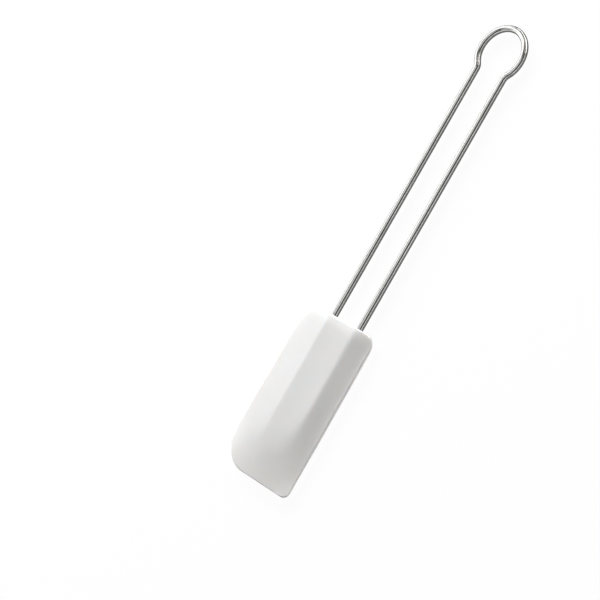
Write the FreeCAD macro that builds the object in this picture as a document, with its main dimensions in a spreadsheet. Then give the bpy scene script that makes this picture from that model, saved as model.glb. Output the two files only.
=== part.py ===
import FreeCAD, Part
import math
import os
import Sketcher

# Dough scraper with a moulded silicone head on a one-piece bent wire handle.
# Working frame of every sub-part: X runs from the tip of the head to the hanging ring, Y is across,
# measured from the line midway between the two rods, and Z is the thickness, measured from the middle.
# The row frame lies on the lower spine facet, with its origin at the bottom centre of the whole object.

SIZES = [
    # name, millimetres (or a plain count), meaning
    ("overall_length", 260.0, "tip of the head to the outside of the ring"),
    ("wire_diameter", 3.5, "round stainless wire"),
    ("ring_radius", 13.75, "hanging ring, to the middle of the wire"),
    ("rod_spacing", 19.0, "between the middles of the two rods"),
    ("neck_radius", 5.0, "bend from rod to ring, to the middle of the wire"),
    ("rod_embedment", 43.0, "length of rod inside the head"),
    ("head_length", 90.5, "tip to top edge"),
    ("wide_reach_top", 27.8, "handle line to the round-cornered side, at the top"),
    ("wide_reach_tip", 29.4, "the same, at the tip"),
    ("narrow_reach_top", 22.3, "handle line to the square-cornered side, at the top"),
    ("narrow_reach_tip", 23.0, "the same, at the tip"),
    ("top_corner", 7.2, "radius of both top corners"),
    ("round_corner", 18.0, "radius of the large tip corner, for bowls"),
    ("square_corner", 4.0, "radius of the small tip corner, for jars and edges"),
    ("spine_width", 19.8, "flat facet along the middle"),
    ("spine_thickness", 6.0, "over the two facets"),
    ("wide_edge_thickness", 2.8, "blunt edge of the round-cornered side, at the top"),
    ("narrow_edge_thickness", 1.6, "blunt edge of the square-cornered side, at the top"),
    ("tip_thickness", 2.0, "middle of the tip edge"),
    ("lip_thickness", 0.9, "sides of the tip edge"),
    ("belly_station", 18.0, "distance from the tip to the belly section"),
    ("belly_thickness", 5.0, "middle of the belly section"),
    ("belly_lip_thickness", 1.0, "sides of the belly section"),
    ("crown_station", 40.0, "distance from the tip to the crown section"),
    ("crown_thickness", 7.6, "middle of the crown section"),
    ("crown_lip_thickness", 3.5, "sides of the crown section"),
    ("core_length", 38.0, "steel core plate between the rods"),
    ("core_thickness", 1.0, "steel core plate"),
    ("core_end_gap", 1.0, "from the end of the rods to the end of the plate"),
    ("core_corner", 2.0, "radius of the plate's corners"),
    ("lock_hole_diameter", 5.0, "holes that the silicone fills"),
    ("lock_hole_pitch", 11.0, "between the middles of two holes"),
    ("lock_hole_count", 3, "holes in a row"),
]
MARGIN = 2.0  # how far a cutting outline runs past the solid that it cuts

os.makedirs("parts", exist_ok=True)
doc = FreeCAD.newDocument("dough_scraper")
sheet = doc.addObject("Spreadsheet::Sheet", "Sizes")
for row, (alias, value, meaning) in enumerate(SIZES, start=1):
    sheet.set("A%d" % row, alias)
    sheet.set("B%d" % row, str(value))
    sheet.set("C%d" % row, meaning)
    sheet.setAlias("B%d" % row, alias)
doc.recompute()

# Lengths that follow from the driving sizes, as expressions.
HALF_SPINE = "Sizes.spine_thickness / 2"
HALF_FACET = "Sizes.spine_width / 2"
HALF_SPACING = "Sizes.rod_spacing / 2"
ROD_END = "(Sizes.head_length - Sizes.rod_embedment)"
RING_CENTRE = "(Sizes.overall_length - Sizes.wire_diameter / 2 - Sizes.ring_radius)"
CORE_WIDTH = "(Sizes.rod_spacing - Sizes.wire_diameter)"


def side_reach(top, tip, corner):
    """Furthest reach of one side, at the top of its tip corner's arc."""
    flare = "((Sizes.%s - Sizes.%s) / Sizes.head_length)" % (tip, top)
    return "(Sizes.%s - Sizes.%s * (%s + sqrt(1 + %s ^ 2) - 1))" % (tip, corner, flare, flare)


WIDE_REACH = side_reach("wide_reach_top", "wide_reach_tip", "round_corner")
NARROW_REACH = side_reach("narrow_reach_top", "narrow_reach_tip", "square_corner")


def number(expression):
    """Value of an expression in the sheet's sizes, as a plain float."""
    value = sheet.evalExpression(expression)
    return float(getattr(value, "Value", value))


def place(thing):
    """Puts a sub-part from the working frame into the row frame."""
    thing.setExpression("Placement.Base.x", "-Sizes.overall_length / 2")
    thing.setExpression("Placement.Base.y", "(%s - %s) / 2" % (NARROW_REACH, WIDE_REACH))
    thing.setExpression("Placement.Base.z", HALF_SPINE)


def new_body(label):
    body = doc.addObject("PartDesign::Body", label)
    body.Label = label
    return body


def origin_plane(body, role):
    return next(plane for plane in body.Origin.OriginFeatures if plane.Role == role)


def new_sketch(body, name, role, offset=None):
    """Sketch on one of the body's origin planes, moved along its normal by an expression."""
    sketch = body.newObject("Sketcher::SketchObject", name)
    sketch.AttachmentSupport = [(origin_plane(body, role), "")]
    sketch.MapMode = "FlatFace"
    if offset is not None:
        sketch.setExpression("AttachmentOffset.Base.z", offset)
    return sketch


def bind(sketch, index, expression):
    sketch.setExpression("Constraints[%d]" % index, expression)


def fix_point(sketch, geometry, position, across, upward):
    """Holds one point of a sketch at two expressions."""
    for kind, expression in (("DistanceX", across), ("DistanceY", upward)):
        value = number(expression)
        index = sketch.addConstraint(Sketcher.Constraint(kind, -1, 1, geometry, position, value))
        bind(sketch, index, expression)


def polygon(sketch, corners):
    """Closed outline of straight edges through corners given as pairs of expressions."""
    points = [FreeCAD.Vector(number(across), number(upward), 0) for across, upward in corners]
    count = len(points)
    first = sketch.GeometryCount
    for index in range(count):
        sketch.addGeometry(Part.LineSegment(points[index], points[(index + 1) % count]))
    for index in range(count):
        following = first + (index + 1) % count
        sketch.addConstraint(Sketcher.Constraint("Coincident", first + index, 2, following, 1))
    for index, (across, upward) in enumerate(corners):
        fix_point(sketch, first + index, 1, across, upward)


def circle(sketch, across, upward, radius):
    """Circle with its centre and radius held at expressions."""
    centre = FreeCAD.Vector(number(across), number(upward), 0)
    index = sketch.addGeometry(Part.Circle(centre, FreeCAD.Vector(0, 0, 1), number(radius)))
    fix_point(sketch, index, 3, across, upward)
    bind(sketch, sketch.addConstraint(Sketcher.Constraint("Radius", index, number(radius))), radius)


def upright_edges(shape, across_test):
    """Names of the straight edges along Z whose middle passes a test."""
    names = []
    for index, edge in enumerate(shape.Edges, start=1):
        start, end = edge.Vertexes[0].Point, edge.Vertexes[-1].Point
        upright = abs(start.x - end.x) + abs(start.y - end.y) < 1e-6
        if upright and across_test((start + end) / 2):
            names.append("Edge%d" % index)
    return names


def round_corners(body, name, base, test, radius):
    """Fillet of the upright edges that pass the test."""
    fillet = body.newObject("PartDesign::Fillet", name)
    fillet.Base = (base, upright_edges(base.Shape, test))
    fillet.setExpression("Radius", radius)
    doc.recompute()
    return fillet


def removed(before, after):
    """Stops the build when a cut took nothing away."""
    if after.Shape.Volume >= before.Shape.Volume:
        raise RuntimeError("%s cuts nothing" % after.Label)


def wire_handle():
    """One wire: a rod, a neck bend, the ring, a neck bend and the other rod."""
    body = new_body("wire_handle")
    path = new_sketch(body, "handle_path", "XY_Plane")
    ring_radius = number("Sizes.ring_radius")
    neck_radius = number("Sizes.neck_radius")
    half_spacing = number(HALF_SPACING)
    ring_centre = number(RING_CENTRE)
    rod_end = number(ROD_END)
    # Angle, seen from the ring's centre, between the handle line and the point where a neck meets the ring.
    meeting = math.asin((half_spacing + neck_radius) / (ring_radius + neck_radius))
    neck_start = ring_centre - (ring_radius + neck_radius) * math.cos(meeting)
    upward = FreeCAD.Vector(0, 0, 1)

    def arc(x, y, radius, start, end):
        return Part.ArcOfCircle(Part.Circle(FreeCAD.Vector(x, y, 0), upward, radius), start, end)

    def rod(y):
        return Part.LineSegment(FreeCAD.Vector(rod_end, y, 0), FreeCAD.Vector(neck_start, y, 0))

    neck_offset = half_spacing + neck_radius
    near_rod = path.addGeometry(rod(-half_spacing))
    near_neck = path.addGeometry(arc(neck_start, -neck_offset, neck_radius, meeting, math.pi / 2))
    ring = path.addGeometry(arc(ring_centre, 0, ring_radius, meeting - math.pi, math.pi - meeting))
    far_neck = path.addGeometry(arc(neck_start, neck_offset, neck_radius, -math.pi / 2, -meeting))
    far_rod = path.addGeometry(rod(half_spacing))
    joints = [
        (near_rod, 2, near_neck, 2),
        (near_neck, 1, ring, 1),
        (ring, 2, far_neck, 2),
        (far_neck, 1, far_rod, 2),
    ]
    for joint in joints:
        path.addConstraint(Sketcher.Constraint("Tangent", *joint))
    for line in (near_rod, far_rod):
        path.addConstraint(Sketcher.Constraint("Horizontal", line))
    fix_point(path, near_rod, 1, ROD_END, "-" + HALF_SPACING)
    fix_point(path, far_rod, 1, ROD_END, HALF_SPACING)
    fix_point(path, ring, 3, RING_CENTRE, "0")
    for bend, size in ((ring, "ring_radius"), (near_neck, "neck_radius"), (far_neck, "neck_radius")):
        expression = "Sizes." + size
        constraint = Sketcher.Constraint("Radius", bend, number(expression))
        bind(path, path.addConstraint(constraint), expression)
    section = new_sketch(body, "wire_section", "YZ_Plane", ROD_END)
    circle(section, "-" + HALF_SPACING, "0", "Sizes.wire_diameter / 2")
    doc.recompute()
    wire = body.newObject("PartDesign::AdditivePipe", "bent_wire")
    wire.Profile = section
    wire.Spine = (path, [])
    doc.recompute()
    place(body)
    return body


def core_plate():
    """Thin steel plate welded between the rods inside the head, with holes that the silicone fills."""
    body = new_body("core_plate")
    plan = new_sketch(body, "core_plan", "XY_Plane")
    start = "(%s + Sizes.core_end_gap)" % ROD_END
    end = "(%s + Sizes.core_length)" % start
    half_width = "%s / 2" % CORE_WIDTH
    sides = ("-" + half_width, half_width)
    polygon(plan, [(start, sides[0]), (end, sides[0]), (end, sides[1]), (start, sides[1])])
    doc.recompute()
    plate = body.newObject("PartDesign::Pad", "core_blank")
    plate.Profile = plan
    plate.Midplane = True
    plate.setExpression("Length", "Sizes.core_thickness")
    doc.recompute()
    rounded = round_corners(body, "core_corners", plate, lambda middle: True, "Sizes.core_corner")
    hole_plan = new_sketch(body, "lock_hole_plan", "XY_Plane")
    row_length = "(Sizes.lock_hole_count - 1) * Sizes.lock_hole_pitch"
    circle(hole_plan, "(%s + %s - %s) / 2" % (start, end, row_length), "0", "Sizes.lock_hole_diameter / 2")
    doc.recompute()
    hole = body.newObject("PartDesign::Pocket", "lock_hole")
    hole.Profile = hole_plan
    hole.Type = "ThroughAll"
    hole.Midplane = True
    doc.recompute()
    removed(rounded, hole)
    row = body.newObject("PartDesign::LinearPattern", "lock_holes")
    row.Originals = [hole]
    row.Direction = (hole_plan, ["H_Axis"])
    row.setExpression("Length", row_length)
    row.setExpression("Occurrences", "Sizes.lock_hole_count")
    body.Tip = row
    doc.recompute()
    removed(hole, row)
    place(body)
    return body


def faceted_blank():
    """Head outline with its two flat spine facets and four bevels down to the blunt side edges."""
    body = new_body("faceted_blank")
    plan = new_sketch(body, "head_plan", "XY_Plane")
    corners = [
        ("0", "-Sizes.narrow_reach_tip"),
        ("Sizes.head_length", "-Sizes.narrow_reach_top"),
        ("Sizes.head_length", "Sizes.wide_reach_top"),
        ("0", "Sizes.wide_reach_tip"),
    ]
    polygon(plan, corners)
    doc.recompute()
    blank = body.newObject("PartDesign::Pad", "head_blank")
    blank.Profile = plan
    blank.Midplane = True
    blank.setExpression("Length", "Sizes.spine_thickness")
    doc.recompute()
    middle = number("Sizes.head_length") / 2
    corner_rounds = [
        ("top_corners", lambda point: point.x > middle, "Sizes.top_corner"),
        ("round_corner_cut", lambda point: point.x < middle and point.y > 0, "Sizes.round_corner"),
        ("square_corner_cut", lambda point: point.x < middle and point.y < 0, "Sizes.square_corner"),
    ]
    feature = blank
    for name, test, radius in corner_rounds:
        feature = round_corners(body, name, feature, test, radius)
    bevels = []
    for side, sign in (("wide", ""), ("narrow", "-")):
        feature = bevel(body, side, sign, feature)
        bevels.append(feature)
    mirrored = body.newObject("PartDesign::Mirrored", "lower_bevels")
    mirrored.Originals = bevels
    mirrored.MirrorPlane = (origin_plane(body, "XY_Plane"), [""])
    body.Tip = mirrored
    doc.recompute()
    removed(feature, mirrored)
    return body


def bevel(body, side, sign, base):
    """Cuts one upper bevel, from the spine facet's edge down to the blunt edge and beyond."""
    profile = new_sketch(body, side + "_bevel_profile", "YZ_Plane")
    fall = "(Sizes.spine_thickness - Sizes.%s_edge_thickness) / 2" % side
    slope = "(%s / (Sizes.%s_reach_top - %s))" % (fall, side, HALF_FACET)
    outside = "(Sizes.%s_reach_tip + %g)" % (side, MARGIN)
    low = "(%s - %s * (%s - %s))" % (HALF_SPINE, slope, outside, HALF_FACET)
    high = "(%s + %g)" % (HALF_SPINE, MARGIN)
    inside = "(%s)" % HALF_FACET
    corners = [
        (sign + inside, HALF_SPINE),
        (sign + outside, low),
        (sign + outside, high),
        (sign + inside, high),
    ]
    polygon(profile, corners)
    doc.recompute()
    cut = body.newObject("PartDesign::Pocket", side + "_bevel")
    cut.Profile = profile
    cut.Type = "ThroughAll"
    cut.Reversed = True
    doc.recompute()
    removed(base, cut)
    return cut


def crown():
    """Lens-shaped envelope that thins the head towards the tip and rounds off the end of the facets."""
    body = new_body("crown")
    tip_rise = "((Sizes.belly_thickness - Sizes.tip_thickness) / Sizes.belly_station)"
    rise = "((Sizes.crown_thickness - Sizes.belly_thickness) / (Sizes.crown_station - Sizes.belly_station))"
    top_station = "(Sizes.head_length + %g)" % MARGIN
    top_rise = "(%s - Sizes.crown_station) * %s" % (top_station, rise)
    stations = [
        ("tip_lens", "-%g" % MARGIN, "Sizes.tip_thickness - %g * %s" % (MARGIN, tip_rise), "Sizes.lip_thickness"),
        ("belly_lens", "Sizes.belly_station", "Sizes.belly_thickness", "Sizes.belly_lip_thickness"),
        ("crown_lens", "Sizes.crown_station", "Sizes.crown_thickness", "Sizes.crown_lip_thickness"),
        ("top_lens", top_station, "Sizes.crown_thickness + %s" % top_rise, "Sizes.spine_thickness"),
    ]
    sketches = []
    for name, station, thickness, lip in stations:
        sketches.append(lens(body, name, station, "(%s) / 2" % thickness, "(%s) / 2" % lip))
    doc.recompute()
    loft = body.newObject("PartDesign::AdditiveLoft", "crown_loft")
    loft.Profile = sketches[0]
    loft.Sections = sketches[1:]
    doc.recompute()
    return body


def lens(body, name, station, half_thickness, half_lip):
    """Closed section across the head: an arc above, an arc below and a short edge at each side.

    Its thickest point lies at the middle of the head's width, and its sides stand clear of the head.
    """
    sketch = new_sketch(body, name, "YZ_Plane", station)
    crest = "((Sizes.wide_reach_tip - Sizes.narrow_reach_tip) / 2)"
    half_width = "((Sizes.wide_reach_tip + Sizes.narrow_reach_tip) / 2 + %g)" % MARGIN
    far, near = "(%s + %s)" % (crest, half_width), "(%s - %s)" % (crest, half_width)
    left, middle, right = number(near), number(crest), number(far)
    height, lip = number(half_thickness), number(half_lip)
    upper = [FreeCAD.Vector(right, lip, 0), FreeCAD.Vector(middle, height, 0), FreeCAD.Vector(left, lip, 0)]
    lower = [FreeCAD.Vector(left, -lip, 0), FreeCAD.Vector(middle, -height, 0), FreeCAD.Vector(right, -lip, 0)]
    top = sketch.addGeometry(Part.Arc(*upper))
    near_side = sketch.addGeometry(Part.LineSegment(upper[2], lower[0]))
    bottom = sketch.addGeometry(Part.Arc(*lower))
    far_side = sketch.addGeometry(Part.LineSegment(lower[2], upper[0]))
    edges = [top, near_side, bottom, far_side]
    for index, edge in enumerate(edges):
        sketch.addConstraint(Sketcher.Constraint("Coincident", edge, 2, edges[(index + 1) % 4], 1))
    fix_point(sketch, near_side, 1, near, half_lip)
    fix_point(sketch, near_side, 2, near, "-" + half_lip)
    fix_point(sketch, far_side, 1, far, "-" + half_lip)
    fix_point(sketch, far_side, 2, far, half_lip)
    for arc, sign in ((top, ""), (bottom, "-")):
        point = FreeCAD.Vector(middle, number(sign + half_thickness), 0)
        crest_point = sketch.addGeometry(Part.Point(point), True)
        fix_point(sketch, crest_point, 1, crest, sign + half_thickness)
        sketch.addConstraint(Sketcher.Constraint("PointOnObject", crest_point, 1, arc))
    return sketch


def silicone_head(handle, core):
    """Head moulded around the rods and the core plate, so its cavity is exactly their shape."""
    blank = faceted_blank()
    envelope = crown()
    for body in (blank, envelope):
        place(body)
    shaped = doc.addObject("Part::Common", "shaped_head")
    shaped.Base = blank
    shaped.Tool = envelope
    around_handle = doc.addObject("Part::Cut", "head_around_handle")
    around_handle.Base = shaped
    around_handle.Tool = handle
    head = doc.addObject("Part::Cut", "silicone_head")
    head.Label = "silicone_head"
    head.Base = around_handle
    head.Tool = core
    doc.recompute()
    return head


def check_document():
    """Stops the build when any object of the document failed."""
    for thing in doc.Objects:
        if "Invalid" in thing.State or "Error" in thing.State:
            raise RuntimeError("%s failed: %s" % (thing.Label, thing.State))


def write(sub_parts):
    for thing in sub_parts:
        shape = thing.Shape
        if shape.isNull() or not shape.isValid() or not shape.Solids:
            raise RuntimeError("%s has no valid solid" % thing.Label)
    for thing in sub_parts:
        thing.Shape.exportStep(os.path.join("parts", thing.Label + ".step"))
        box = thing.Shape.optimalBoundingBox(False)
        print("%-14s solids %d  volume %9.2f mm3  X %8.2f..%8.2f  Y %7.2f..%7.2f  Z %6.2f..%6.2f" % (
            thing.Label, len(thing.Shape.Solids), thing.Shape.Volume,
            box.XMin, box.XMax, box.YMin, box.YMax, box.ZMin, box.ZMax))


handle = wire_handle()
core = core_plate()
head = silicone_head(handle, core)
doc.recompute()
check_document()
write([handle, core, head])
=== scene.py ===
import math
from collections import namedtuple

import bmesh
import bpy
import numpy as np
from mathutils import Matrix, Vector

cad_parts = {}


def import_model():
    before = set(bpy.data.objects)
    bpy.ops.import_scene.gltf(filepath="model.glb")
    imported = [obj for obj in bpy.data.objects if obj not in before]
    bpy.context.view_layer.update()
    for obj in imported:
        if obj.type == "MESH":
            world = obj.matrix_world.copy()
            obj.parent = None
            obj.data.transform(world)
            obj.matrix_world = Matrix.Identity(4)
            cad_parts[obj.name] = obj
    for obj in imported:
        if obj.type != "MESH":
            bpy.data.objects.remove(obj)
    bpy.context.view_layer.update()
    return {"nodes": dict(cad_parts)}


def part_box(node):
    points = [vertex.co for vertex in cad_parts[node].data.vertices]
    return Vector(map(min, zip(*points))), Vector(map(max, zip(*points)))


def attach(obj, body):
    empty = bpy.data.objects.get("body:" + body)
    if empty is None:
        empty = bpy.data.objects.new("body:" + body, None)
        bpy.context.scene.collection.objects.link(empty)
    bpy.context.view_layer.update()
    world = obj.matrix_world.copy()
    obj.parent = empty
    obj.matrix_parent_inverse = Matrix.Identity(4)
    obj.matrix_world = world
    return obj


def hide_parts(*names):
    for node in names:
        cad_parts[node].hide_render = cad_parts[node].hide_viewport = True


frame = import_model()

MM = 0.001

# ---------------------------------------------------------------- sizes, in millimetres
# The frame gives the boxes. The other sizes of this group are those of the CAD part that a box doesn't
# show. In the head's functions x runs from the tip to the top edge, and y from the handle line.
head_low, head_high = [corner / MM for corner in map(Vector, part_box("silicone_head"))]
wire_low, wire_high = [corner / MM for corner in map(Vector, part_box("wire_handle"))]

WIRE_DIAMETER = wire_high.z - wire_low.z
RING_RADIUS = (wire_high.y - wire_low.y - WIRE_DIAMETER) / 2
ROD_HALF_SPACING = 9.5
NECK_RADIUS = 5.0
MIDDLE_HEIGHT = (wire_high.z + wire_low.z) / 2
HANDLE_LINE = (wire_high.y + wire_low.y) / 2

TIP = head_low.x
HEAD_LENGTH = head_high.x - head_low.x
HALF_SPINE = (head_high.z - head_low.z) / 2
HALF_FACET = 9.9
TOP_CORNER = 7.2

# A long side of the head: its direction along Y, its reach from the handle line at the tip and at the
# top, the radius of its tip corner, half of its edge's thickness, and the half-width of the soft bend
# between the spine facet and its bevel.
Side = namedtuple("Side", "sign tip_reach top_reach tip_corner half_edge bend")
WIDE = Side(1, 29.4, 27.8, 18.0, 1.4, 1.2)
NARROW = Side(-1, 23.0, 22.3, 4.0, 0.8, 1.9)

# Sections of the thin blade: where they are, and half their thickness in the middle and at the lips.
# The lips lie a margin outside the sides.
BLADE_STATIONS = (0.0, 18.0, 40.0)
BLADE_HALF_MIDDLES = (1.0, 2.5, 3.8)
BLADE_HALF_LIPS = (0.45, 0.5, 1.75)
LIP_MARGIN = 2.0
BLADE_CREST = (WIDE.tip_reach - NARROW.tip_reach) / 2
BLADE_REACH = (WIDE.tip_reach + NARROW.tip_reach) / 2 + LIP_MARGIN

# Moulded softness that only the visual head has.
FACET_HOLLOW = 0.09       # dip along the middle of the spine facet
RUN_OUT_BLEND = 0.7       # where the spine runs out into the blade
RIM_WIDTH = 1.8           # flatter rim along the narrow side
ROLL_DEPTH = 0.4          # fall of the surface at the top edge
ROLL_WIDTH = 6.5          # distance inwards from the edge over which it falls
ROLL_FADE = 16.0          # distance from the top edge at which no roll is left
EDGE_ROUND = 0.5          # radius of the edges
MOST_ROUNDED = 0.92       # share of a thin edge's half thickness that its rounding may take


# ---------------------------------------------------------------- the head's outline
def flare(side):
    """How far a side spreads towards the tip, for each millimetre of length."""
    return (side.tip_reach - side.top_reach) / HEAD_LENGTH


def lean(side):
    """Length of a stretch of the slanting side, for each millimetre along X."""
    return math.hypot(1.0, flare(side))


def side_line(x, side):
    """Distance of a straight side from the handle line."""
    return side.tip_reach + (side.top_reach - side.tip_reach) * x / HEAD_LENGTH


def corners(side):
    """The tip corner and the top corner of a side: radius, centre, and which way along X they face."""
    found = []
    for radius, centre_x, facing in (
        (side.tip_corner, side.tip_corner, -1), (TOP_CORNER, HEAD_LENGTH - TOP_CORNER, 1)
    ):
        centre_y = side_line(centre_x, side) - radius * lean(side)
        found.append((radius, centre_x, centre_y, facing))
    return found


def side_profile(x, side):
    """Distance of a side from the handle line, with both of its corners rounded."""
    result = side_line(x, side)
    for radius, centre_x, centre_y, facing in corners(side):
        touch_x = centre_x + radius * flare(side) / lean(side)
        along = np.clip((x - centre_x) / radius, -1.0, 1.0)
        on_arc = centre_y + radius * np.sqrt(1.0 - along ** 2)
        result = np.where((x - touch_x) * facing > 0, on_arc, result)
    return result


def edge_distance(x, y):
    """Distance inwards from the head's outline."""
    distance = np.minimum(x, HEAD_LENGTH - x)
    for side in (WIDE, NARROW):
        outwards = side.sign * y
        distance = np.minimum(distance, (side_line(x, side) - outwards) / lean(side))
        for radius, centre_x, centre_y, facing in corners(side):
            in_corner = ((x - centre_x) * facing > 0) & (outwards > centre_y)
            radial = radius - np.hypot(x - centre_x, outwards - centre_y)
            distance = np.where(in_corner, radial, distance)
    return np.maximum(distance, 0.0)


# ---------------------------------------------------------------- the head's thickness
def ramp(distance, softness):
    """Zero before the edge, then rising at 45 degrees, with a round bend of the given half-width."""
    t = np.clip(distance / softness, -1.0, 1.0)
    return np.where(distance > softness, distance, softness * (t + 1.0) ** 2 / 4.0)


def soft_min(first, second, blend):
    """The smaller of two heights, with a round transition where they are within the blend."""
    gap = np.maximum(blend - np.abs(first - second), 0.0)
    return np.minimum(first, second) - gap ** 2 / (4.0 * blend)


def bevel_slope(side):
    """Fall of a side's bevel, for each millimetre outwards."""
    return (HALF_SPINE - side.half_edge) / (side.top_reach - HALF_FACET)


def spine_and_bevels(x, y):
    """Half thickness of the spine, with its hollowed facet and a bevel on each side."""
    across_facet = np.clip(y / HALF_FACET, -1.0, 1.0)
    height = HALF_SPINE - FACET_HOLLOW * (1.0 - across_facet ** 2)
    for side in (WIDE, NARROW):
        height = height - bevel_slope(side) * ramp(side.sign * y - HALF_FACET, side.bend)
    # The narrow side's bevel flattens out into a soft rim along the edge.
    into_rim = np.maximum(NARROW.sign * y - side_line(x, NARROW) + RIM_WIDTH, 0.0)
    return height + bevel_slope(NARROW) * into_rim ** 2 / (2.0 * RIM_WIDTH)


def blade(x, y):
    """Half thickness of the thin blade: a hump across, whose height changes along the head."""
    middle, lip = [
        np.polyval(np.polyfit(BLADE_STATIONS, halves, 2), x)
        for halves in (BLADE_HALF_MIDDLES, BLADE_HALF_LIPS)
    ]
    return middle - (middle - lip) * ((y - BLADE_CREST) / BLADE_REACH) ** 2


def top_roll(x, y):
    """How far the surface rolls down towards the top edge and round its two corners."""
    near_top = np.clip((x - HEAD_LENGTH + ROLL_FADE) / (ROLL_FADE - ROLL_WIDTH / 2), 0.0, 1.0)
    inwards = np.clip(edge_distance(x, y) / ROLL_WIDTH, 0.0, 1.0)
    return ROLL_DEPTH * near_top ** 2 * (1.0 - inwards) ** 2


def half_thickness(x, y):
    """Half of the head's thickness, with its edges rounded."""
    height = soft_min(spine_and_bevels(x, y), blade(x, y), RUN_OUT_BLEND) - top_roll(x, y)
    rounding = np.minimum(EDGE_ROUND, MOST_ROUNDED * height)
    inside = np.clip(edge_distance(x, y) / rounding, 0.0, 1.0)
    return height - rounding * (1.0 - np.sqrt(1.0 - (1.0 - inside) ** 2))


# ---------------------------------------------------------------- the head's mesh
def finished(name, mesh, smooth=True):
    """Turns a bmesh into an object in the scene."""
    bmesh.ops.recalc_face_normals(mesh, faces=mesh.faces)
    data = bpy.data.meshes.new(name)
    mesh.to_mesh(data)
    mesh.free()
    for face in data.polygons:
        face.use_smooth = smooth
    thing = bpy.data.objects.new(name, data)
    bpy.context.scene.collection.objects.link(thing)
    return thing


def crowded(count):
    """Steps from 0 to 1 that lie closer together towards both ends, where the edges are round."""
    return 0.5 - 0.5 * np.cos(np.pi * np.linspace(0, 1, count + 1))


def silicone_head():
    """Closed mesh: an upper and a lower skin over the same grid, and a wall between their borders."""
    rows, columns = 240, 160
    x = np.repeat(HEAD_LENGTH * crowded(rows)[:, None], columns + 1, axis=1)
    wide = side_profile(x, WIDE)
    narrow = side_profile(x, NARROW)
    y = -narrow + (wide + narrow) * crowded(columns)[None, :]
    half = half_thickness(x, y)
    mesh = bmesh.new()
    skins = []
    for sign in (1, -1):
        skin = []
        for i in range(rows + 1):
            line = []
            for j in range(columns + 1):
                point = (TIP + x[i, j], HANDLE_LINE + y[i, j], MIDDLE_HEIGHT + sign * half[i, j])
                line.append(mesh.verts.new(Vector(point) * MM))
            skin.append(line)
        skins.append(skin)
        for i in range(rows):
            for j in range(columns):
                face = [skin[i][j], skin[i + 1][j], skin[i + 1][j + 1], skin[i][j + 1]]
                mesh.faces.new(face if sign > 0 else face[::-1])
    border = [(i, 0) for i in range(rows)] + [(rows, j) for j in range(columns)]
    border += [(i, columns) for i in range(rows, 0, -1)] + [(0, j) for j in range(columns, 0, -1)]
    upper, lower = skins
    for (i, j), (next_i, next_j) in zip(border, border[1:] + border[:1]):
        mesh.faces.new([upper[next_i][next_j], upper[i][j], lower[i][j], lower[next_i][next_j]])
    return finished("head_skin", mesh)


# ---------------------------------------------------------------- the wire handle
GRAIN_MAP = "wire_run"    # name of the map that places the grain along the wire


def handle_path():
    """Middle line of the bent wire: points and directions, from one rod's end to the other's."""
    ring_x = wire_high.x - WIRE_DIAMETER / 2 - RING_RADIUS
    meeting = math.asin((ROD_HALF_SPACING + NECK_RADIUS) / (RING_RADIUS + NECK_RADIUS))
    turn = math.pi / 2 - meeting
    # The middle of the first neck's bend lies outside the rod, and the bend meets the ring's arc.
    neck_x = ring_x - (RING_RADIUS + NECK_RADIUS) * math.cos(meeting)
    neck_y = ROD_HALF_SPACING + NECK_RADIUS
    points = []
    for x in np.linspace(wire_low.x, neck_x, 120, endpoint=False):
        points.append((x, -ROD_HALF_SPACING, 0.0))
    for angle in np.linspace(0.0, turn, 16, endpoint=False):
        x = neck_x + NECK_RADIUS * math.sin(angle)
        points.append((x, -neck_y + NECK_RADIUS * math.cos(angle), -angle))
    for angle in np.linspace(-turn, math.pi / 2, 40, endpoint=False):
        x = ring_x + RING_RADIUS * math.sin(angle)
        points.append((x, -RING_RADIUS * math.cos(angle), angle))
    # The ring's other half and the second rod mirror the first ones.
    middle = [(ring_x + RING_RADIUS, 0.0, math.pi / 2)]
    return points + middle + [(x, -y, math.pi - angle) for x, y, angle in points[::-1]]


def wire_handle():
    """Tube along the path, with a map of the distance along the wire and around it for its grain."""
    around = 40
    radius = WIRE_DIAMETER / 2
    path = handle_path()
    run = [0.0]
    for (x, y, _), (next_x, next_y, _) in zip(path, path[1:]):
        run.append(run[-1] + math.hypot(next_x - x, next_y - y))
    mesh = bmesh.new()
    grain_map = mesh.loops.layers.uv.new(GRAIN_MAP)
    rings = []
    for x, y, heading in path:
        sideways = Vector((-math.sin(heading), math.cos(heading), 0.0))
        ring = []
        for k in range(around):
            angle = 2 * math.pi * k / around
            offset = sideways * (radius * math.cos(angle)) + Vector((0, 0, radius * math.sin(angle)))
            centre = Vector((x, HANDLE_LINE + y, MIDDLE_HEIGHT))
            ring.append(mesh.verts.new((centre + offset) * MM))
        rings.append(ring)
    for i in range(len(path) - 1):
        first, second = rings[i], rings[i + 1]
        for k in range(around):
            following = (k + 1) % around
            face = mesh.faces.new([first[k], second[k], second[following], first[following]])
            corners = ((i, k), (i + 1, k), (i + 1, k + 1), (i, k + 1))
            for loop, (station, step) in zip(face.loops, corners):
                loop[grain_map].uv = (run[station] * MM, 2 * math.pi * radius * step / around * MM)
    mesh.faces.new(rings[0])
    mesh.faces.new(rings[-1][::-1])
    return finished("bent_wire", mesh)


# ---------------------------------------------------------------- materials
# Noise scales count features for each metre. Noise runs mostly from 0.3 to 0.7.
NOISE_LOW, NOISE_HIGH = 0.3, 0.7
PARTING_HALF_WIDTHS = (0.05 * MM, 0.18 * MM)    # of the line itself, and of its soft shoulders
GRAIN_SHARE = 0.25                              # the moulded grain's height beside the line's
SILICONE_RELIEF = 0.05 * MM
STEEL_RELIEF = 0.02 * MM
SCATTER_DEPTH = 1.6 * MM


def new_material(name):
    material = bpy.data.materials.new(name)
    material.use_nodes = True
    nodes = material.node_tree.nodes
    return material, nodes, material.node_tree.links, nodes["Principled BSDF"]


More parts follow.
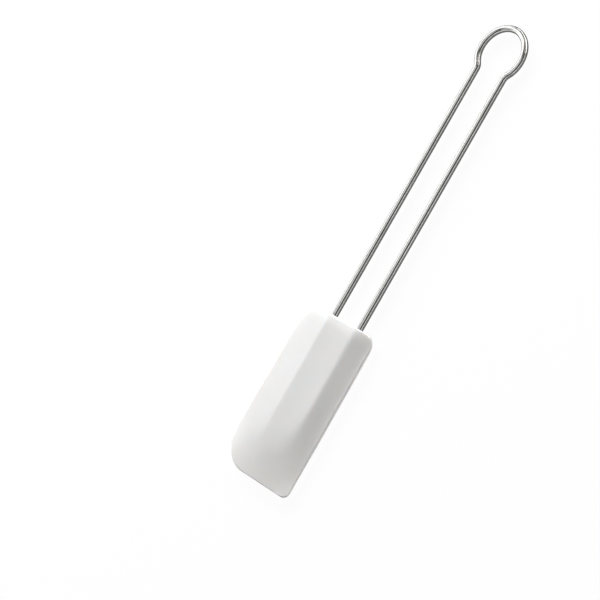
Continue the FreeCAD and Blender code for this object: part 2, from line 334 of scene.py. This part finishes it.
def place_on_object(nodes):
    return nodes.new("ShaderNodeTexCoord").outputs["Object"]


def noise(nodes, links, vector, scale, detail=3.0):
    texture = nodes.new("ShaderNodeTexNoise")
    texture.inputs["Scale"].default_value = scale
    texture.inputs["Detail"].default_value = detail
    links.new(vector, texture.inputs["Vector"])
    return texture.outputs["Fac"]


def stretched(nodes, links, vector, scale):
    """A place multiplied by a scale for each direction, so that unit noise becomes a grain."""
    mapping = nodes.new("ShaderNodeMapping")
    mapping.inputs["Scale"].default_value = scale
    links.new(vector, mapping.inputs["Vector"])
    return mapping.outputs["Vector"]


def between(nodes, links, factor, low, high, start=NOISE_LOW, end=NOISE_HIGH):
    """A number that goes from low to high as the factor goes from start to end."""
    spread = nodes.new("ShaderNodeMapRange")
    for name, value in (("From Min", start), ("From Max", end), ("To Min", low), ("To Max", high)):
        spread.inputs[name].default_value = value
    links.new(factor, spread.inputs["Value"])
    return spread.outputs["Result"]


def tint(nodes, links, factor, low, high, start=NOISE_LOW, end=NOISE_HIGH):
    """A colour that goes from low to high as the factor goes from start to end."""
    colours = nodes.new("ShaderNodeValToRGB")
    for element, position, colour in zip(colours.color_ramp.elements, (start, end), (low, high)):
        element.position = position
        element.color = (*colour, 1.0)
    links.new(factor, colours.inputs["Fac"])
    return colours.outputs["Color"]


def combined(nodes, links, operation, first, second):
    """The result of a maths node on two values, each a plain number or a socket."""
    maths = nodes.new("ShaderNodeMath")
    maths.operation = operation
    for socket, value in zip(maths.inputs, (first, second)):
        if isinstance(value, float):
            socket.default_value = value
        else:
            links.new(value, socket)
    return maths.outputs["Value"]


def bump(nodes, links, height, shader, depth, strength):
    relief = nodes.new("ShaderNodeBump")
    relief.inputs["Distance"].default_value = depth
    relief.inputs["Strength"].default_value = strength
    links.new(height, relief.inputs["Height"])
    links.new(relief.outputs["Normal"], shader.inputs["Normal"])


def silicone_material():
    """Satin white silicone: a cloudy body, a fine moulded grain and a parting line round its edge."""
    material, nodes, links, shader = new_material("white_silicone")
    shader.inputs["Subsurface Weight"].default_value = 1.0
    shader.inputs["Subsurface Radius"].default_value = (1.0, 0.95, 0.9)
    shader.inputs["Subsurface Scale"].default_value = SCATTER_DEPTH
    place = place_on_object(nodes)
    cloud = noise(nodes, links, place, 60.0, 4.0)
    body = tint(nodes, links, cloud, (0.868, 0.865, 0.858), (0.898, 0.895, 0.890))
    links.new(body, shader.inputs["Base Color"])
    handled = noise(nodes, links, place, 140.0, 5.0)
    links.new(between(nodes, links, handled, 0.40, 0.52), shader.inputs["Roughness"])
    split = nodes.new("ShaderNodeSeparateXYZ")
    links.new(place, split.inputs["Vector"])
    above = combined(nodes, links, "SUBTRACT", split.outputs["Z"], MIDDLE_HEIGHT * MM)
    from_middle = combined(nodes, links, "ABSOLUTE", above, 0.0)
    line = between(nodes, links, from_middle, 1.0, 0.0, *PARTING_HALF_WIDTHS)
    grain = noise(nodes, links, place, 2600.0)
    moulded = combined(nodes, links, "MULTIPLY", grain, GRAIN_SHARE)
    height = combined(nodes, links, "ADD", moulded, line)
    bump(nodes, links, height, shader, SILICONE_RELIEF, 0.6)
    return material


def steel_material(name, place, grain_scale, smudge_scale):
    """Metal whose roughness and relief follow its grain, with duller patches of another tint.

    The place is a function that gives the socket along which the grain runs.
    """
    material, nodes, links, shader = new_material(name)
    shader.inputs["Metallic"].default_value = 1.0
    grain = noise(nodes, links, stretched(nodes, links, place(nodes), grain_scale), 1.0)
    smudge = noise(nodes, links, place_on_object(nodes), smudge_scale, 5.0)
    colour = tint(nodes, links, smudge, (0.68, 0.665, 0.64), (0.76, 0.75, 0.73))
    links.new(colour, shader.inputs["Base Color"])
    fine = between(nodes, links, grain, -0.03, 0.04)
    dull = between(nodes, links, smudge, 0.12, 0.19)
    links.new(combined(nodes, links, "ADD", fine, dull), shader.inputs["Roughness"])
    bump(nodes, links, grain, shader, STEEL_RELIEF, 0.35)
    return material


def place_along_wire(nodes):
    run = nodes.new("ShaderNodeUVMap")
    run.uv_map = GRAIN_MAP
    return run.outputs["UV"]


def wire_material():
    """Stainless wire, with the fine lines that drawing leaves along it."""
    return steel_material("drawn_stainless_wire", place_along_wire, (60.0, 6000.0, 1.0), 90.0)


def plate_material():
    """Stainless plate, with its rolled grain along the head."""
    return steel_material("rolled_stainless_plate", place_on_object, (60.0, 4000.0, 4000.0), 120.0)


def pale_material(name, shade, glow):
    """Matt white glow over a body of one shade."""
    material, _, _, shader = new_material(name)
    shader.inputs["Base Color"].default_value = (shade, shade, shade, 1)
    shader.inputs["Roughness"].default_value = 0.9
    shader.inputs["Specular IOR Level"].default_value = 0.0
    shader.inputs["Emission Color"].default_value = (1, 1, 1, 1)
    shader.inputs["Emission Strength"].default_value = glow
    return material


# ---------------------------------------------------------------- studio
FLOOR_HALF_SIZE = 3.0     # metres, like the other distances of the studio
DOME_RADIUS = 2.9
LIGHT_DISTANCE = 1.5

# Angles in degrees, distances in millimetres. The camera looks at a point given from the tip and from
# the handle line, halfway up the wire.
VIEW_AZIMUTH, VIEW_ELEVATION, VIEW_ROLL = -0.33, 47.73, 59.93
VIEW_DISTANCE = 1217.3
VIEW_POINT = (88.83, 35.0)
SENSOR_WIDTH = 36.0
FOCAL_LENGTH = 144.234


def studio_floor():
    """Pale floor that neither the wire nor the silicone's sheen reflects."""
    mesh = bmesh.new()
    bmesh.ops.create_grid(mesh, x_segments=8, y_segments=8, size=FLOOR_HALF_SIZE)
    floor = finished("studio_floor", mesh, smooth=False)
    floor.data.materials.append(pale_material("pale_studio_floor", 0.06, 0.95))
    floor.visible_glossy = False


def backdrop():
    """Pale dome that only the camera sees, so that every view has a plain background."""
    mesh = bmesh.new()
    bmesh.ops.create_icosphere(mesh, subdivisions=4, radius=DOME_RADIUS)
    dome = finished("studio_backdrop", mesh)
    dome.data.materials.append(pale_material("pale_backdrop", 0.0, 1.0))
    for ray in ("diffuse", "glossy", "transmission", "volume_scatter", "shadow"):
        setattr(dome, "visible_" + ray, False)


def towards(azimuth, elevation):
    """Direction from the origin: azimuth 0 is on the narrow side and 90 degrees at the ring."""
    turn, lift = math.radians(azimuth), math.radians(elevation)
    return Vector((math.sin(turn) * math.cos(lift), -math.cos(turn) * math.cos(lift), math.sin(lift)))


def soft_box(name, azimuth, elevation, across, rise, radiance, colour, lights="diffuse"):
    """Panel that faces the origin and covers the given angles, in degrees, as seen from there.

    A key panel lights the matt surfaces, and a card (lights="glossy") is only what the metal and the
    sheen reflect.
    """
    width = 2 * LIGHT_DISTANCE * math.tan(math.radians(across / 2))
    height = 2 * LIGHT_DISTANCE * math.tan(math.radians(rise / 2))
    data = bpy.data.lights.new(name, "AREA")
    data.shape = "RECTANGLE"
    data.size = width
    data.size_y = height
    data.energy = math.pi * width * height * radiance
    data.color = colour
    light = bpy.data.objects.new(name, data)
    bpy.context.scene.collection.objects.link(light)
    direction = towards(azimuth, elevation)
    light.location = direction * LIGHT_DISTANCE
    light.rotation_mode = "QUATERNION"
    light.rotation_quaternion = direction.to_track_quat("Z", "Y")
    light.visible_camera = False
    light.visible_diffuse = lights == "diffuse"
    light.visible_glossy = lights == "glossy"


def lighting():
    """A broad soft key of five panels from the ring end to the wide side, and cards all round.

    The numbers of each panel are its azimuth, its elevation, the angles it covers and its radiance.
    """
    cool = (0.90, 0.96, 1.0)
    neutral = (0.97, 0.99, 1.0)
    warm = (1.0, 0.95, 0.88)
    soft_box("key_low_ring", 97, 7, 75, 14, 2.0, neutral)
    soft_box("key_low_back", 157, 7, 75, 14, 11.0, (0.92, 0.965, 1.0))
    soft_box("key_mid_ring", 120, 21, 60, 14, 7.0, (1.0, 0.995, 0.99))
    soft_box("key_mid_back", 150, 21, 60, 14, 6.0, (0.99, 0.995, 1.0))
    soft_box("key_high_back", 148, 32, 52, 24, 5.0, (1.0, 0.985, 0.965))
    faint, dim, plain, bright, strong = 0.5, 0.8, 1.3, 2.0, 3.3
    soft_box("card_low_front", 0, 7, 75, 14, plain, neutral, "glossy")
    soft_box("card_low_ring", 82, 7, 82, 14, strong, neutral, "glossy")
    soft_box("card_low_back", 170, 7, 82, 14, bright, cool, "glossy")
    soft_box("card_low_side", 265, 7, 85, 14, dim, neutral, "glossy")
    soft_box("card_mid_back", 180, 21, 85, 14, plain, warm, "glossy")
    soft_box("card_mid_side", 285, 21, 100, 14, dim, neutral, "glossy")
    soft_box("card_back", 180, 35, 90, 14, plain, cool, "glossy")
    soft_box("card_high_left", 150, 49, 40, 14, bright, neutral, "glossy")
    soft_box("card_high_right", 222, 49, 50, 14, dim, neutral, "glossy")
    soft_box("card_high_ring", 80, 42, 45, 24, faint, warm, "glossy")
    soft_box("card_top", 0, 90, 36, 36, dim, neutral, "glossy")


def camera():
    """Views the upper side from the narrow side, with the handle running up to the right."""
    back = towards(VIEW_AZIMUTH, VIEW_ELEVATION)
    right = (-back).cross(Vector((0, 0, 1))).normalized()
    up = right.cross(-back)
    roll = math.radians(VIEW_ROLL)
    turned_right = right * math.cos(roll) - up * math.sin(roll)
    turned_up = right * math.sin(roll) + up * math.cos(roll)
    data = bpy.data.cameras.new("studio_camera")
    data.sensor_width = SENSOR_WIDTH
    data.lens = FOCAL_LENGTH
    data.clip_start = 0.01
    data.clip_end = 20.0
    thing = bpy.data.objects.new("studio_camera", data)
    bpy.context.scene.collection.objects.link(thing)
    focus = Vector((TIP + VIEW_POINT[0], HANDLE_LINE + VIEW_POINT[1], MIDDLE_HEIGHT))
    turn = Matrix((turned_right, turned_up, back)).transposed().to_4x4()
    thing.matrix_world = Matrix.Translation((focus + back * VIEW_DISTANCE) * MM) @ turn
    bpy.context.scene.camera = thing


def world():
    """Dim room above the horizon. Below it is what the wire reflects of the pale floor."""
    floor_glow, room = (0.20, 0.203, 0.205), (0.10, 0.10, 0.098)
    space = bpy.data.worlds.new("studio_world")
    space.use_nodes = True
    nodes, links = space.node_tree.nodes, space.node_tree.links
    split = nodes.new("ShaderNodeSeparateXYZ")
    links.new(nodes.new("ShaderNodeTexCoord").outputs["Generated"], split.inputs["Vector"])
    height = between(nodes, links, split.outputs["Z"], 0.0, 1.0, -1.0, 1.0)
    halves = tint(nodes, links, height, floor_glow, room, 0.47, 0.5)
    links.new(halves, nodes["Background"].inputs["Color"])
    bpy.context.scene.world = space


# ---------------------------------------------------------------- the scene
head = silicone_head()
head.data.materials.append(silicone_material())
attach(head, "root")
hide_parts("silicone_head")

wire = wire_handle()
wire.data.materials.append(wire_material())
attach(wire, "root")
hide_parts("wire_handle")

core = frame["nodes"]["core_plate"]
core.data.materials.clear()
core.data.materials.append(plate_material())

studio_floor()
world()
backdrop()
lighting()
camera()
bpy.context.scene.view_settings.view_transform = "Standard"
